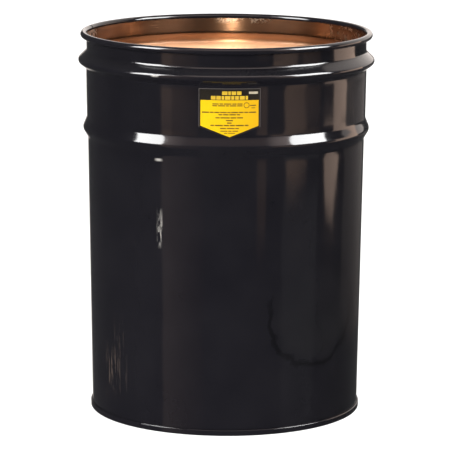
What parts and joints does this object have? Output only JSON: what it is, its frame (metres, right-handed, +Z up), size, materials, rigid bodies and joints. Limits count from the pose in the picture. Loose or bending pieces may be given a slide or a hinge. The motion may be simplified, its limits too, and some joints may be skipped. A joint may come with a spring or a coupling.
{
  "type": "oily waste can",
  "caption": "Open-top steel waste drum with a curled rim, an upper bead, a rolling hoop, a tapered wall, a double-seamed bottom and a lacquered inside.",
  "frame": {"origin": "on the drum's axis, at the level of the ring that it stands on", "axes": "+Z up along the drum's axis, -Y towards the label"},
  "size_m": [0.5067, 0.5067, 0.654],
  "materials": {
    "black_enamel": "gloss black baked enamel",
    "black_enamel_weld": "gloss black baked enamel over a pressed weld",
    "black_enamel_head": "gloss black baked enamel",
    "seam_sealant": "matte",
    "gold_lacquer": "gloss gold-tan baked lacquer over steel",
    "gold_lacquer_bottom": "gloss gold-tan baked lacquer over steel",
    "label_film": "semi-gloss vinyl film",
    "label_black": "semi-gloss black ink",
    "label_yellow": "semi-gloss yellow ink",
    "label_title": "semi-gloss yellow ink",
    "label_white": "semi-gloss off-white ink",
    "label_print": "dark ink"
  },
  "bodies": {
    "root": {"body_shell": "black_enamel", "side_seam_weld": "black_enamel_weld", "bottom_head": "black_enamel_head", "seaming_compound": "seam_sealant", "body_lining": "gold_lacquer", "bottom_lining": "gold_lacquer_bottom", "label_film": "label_film", "label_header": "label_black", "label_yellow_field": "label_yellow", "label_title_bars": "label_title", "label_tag_bar": "label_white", "label_small_print": "label_print"}
  },
  "joints": []
}
